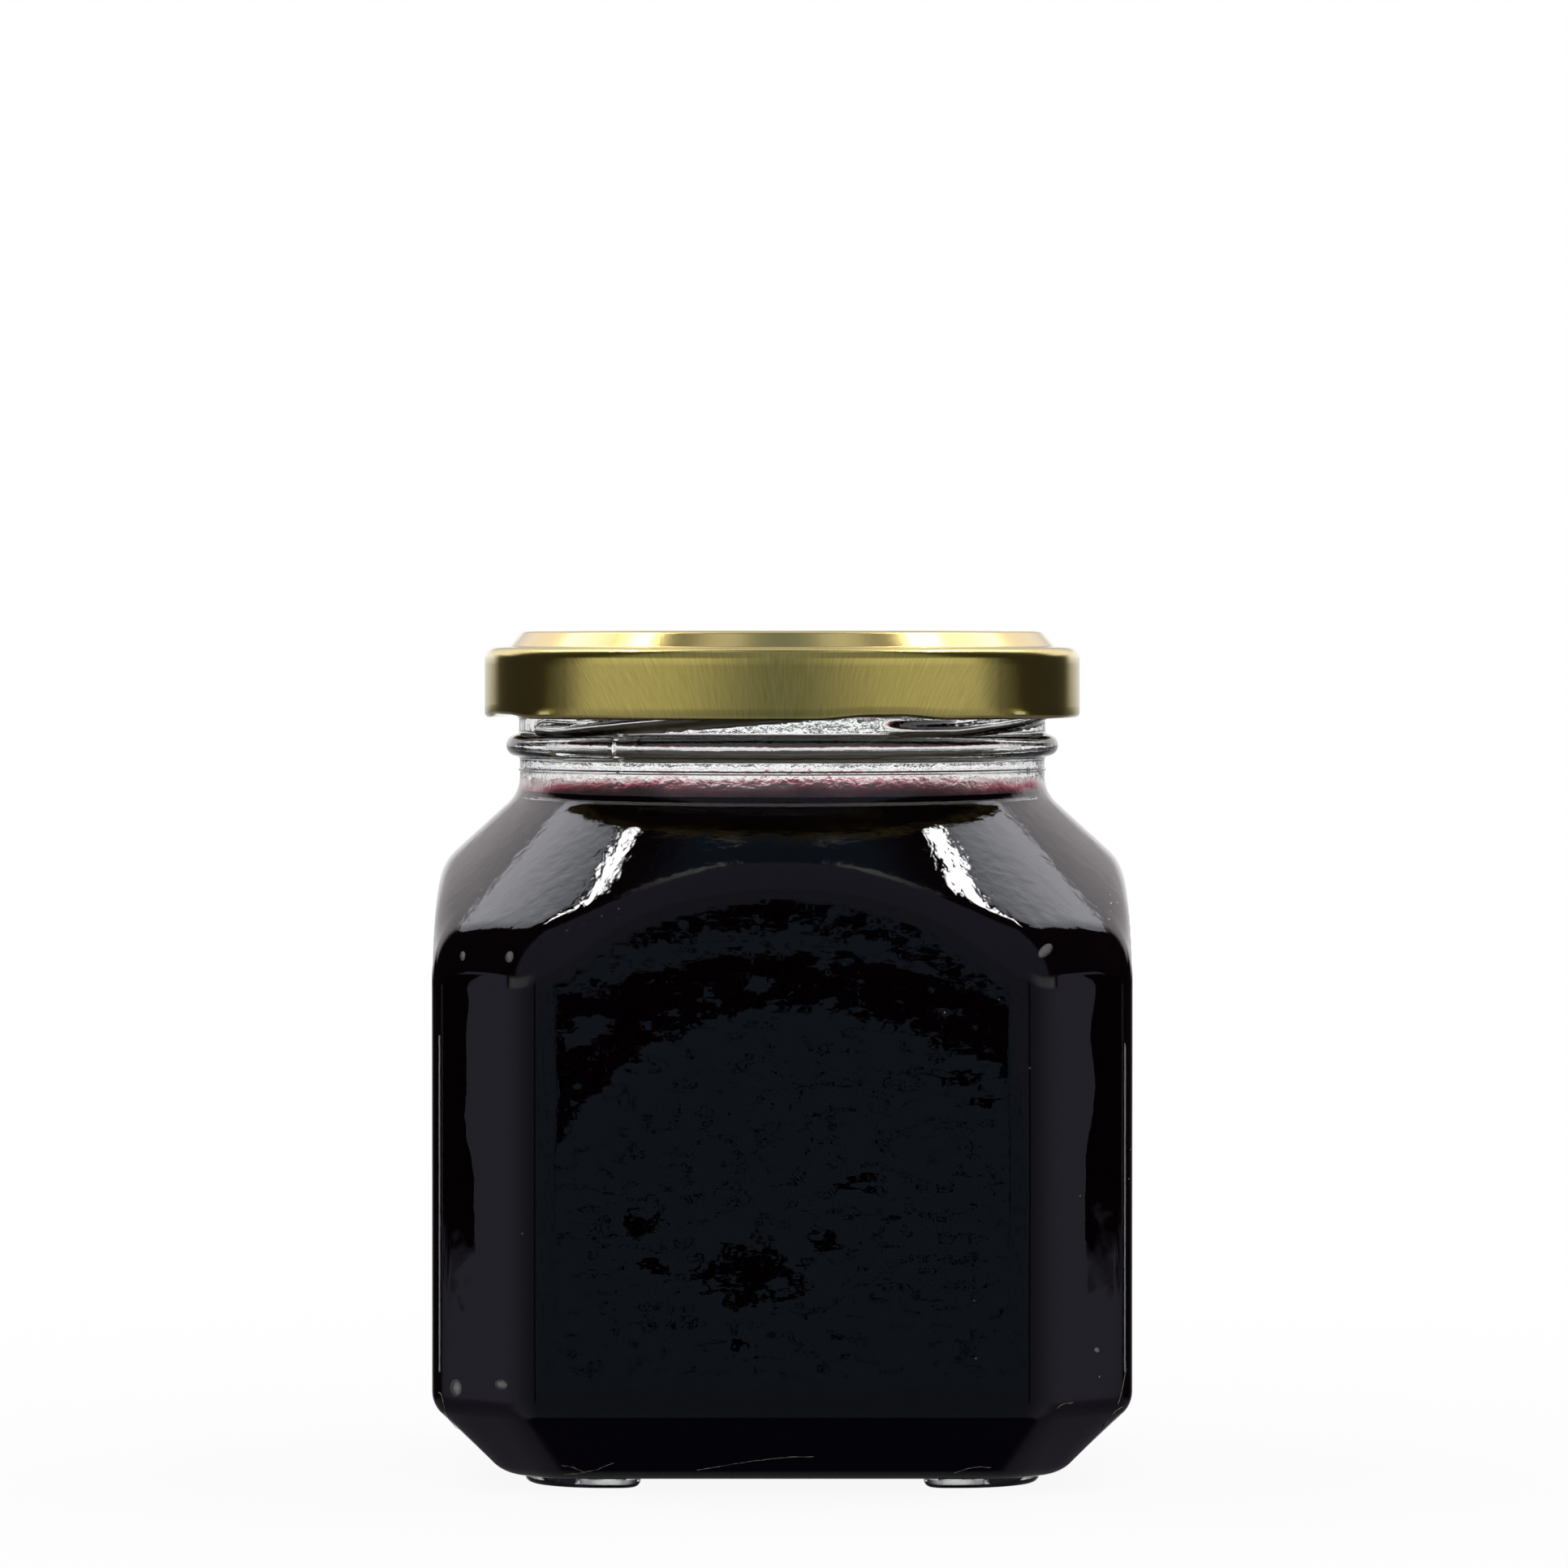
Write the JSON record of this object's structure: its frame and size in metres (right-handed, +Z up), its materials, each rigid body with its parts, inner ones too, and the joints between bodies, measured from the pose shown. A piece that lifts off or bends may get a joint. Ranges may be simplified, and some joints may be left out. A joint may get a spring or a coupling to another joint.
{
  "type": "filled jam jar",
  "caption": "Square glass jar with cut corners, a cone shoulder and a round neck, filled with dark fruit jam and closed with a gold metal lug lid.",
  "frame": {"origin": "middle of the base at table level, under the jar's axis", "axes": "+Z up along the axis of the neck, -Y out of the front side, +X to the right seen from the front"},
  "size_m": [0.0762, 0.0762, 0.0931],
  "materials": {
    "glass": "clear, fire polished",
    "jam": "wet, nearly black dark fruit",
    "lacquered_tinplate": "satin gold lacquer over brushed sheet"
  },
  "bodies": {
    "root": {"glass_jar": "glass", "jam": "jam", "lid": "lacquered_tinplate"}
  },
  "joints": []
}
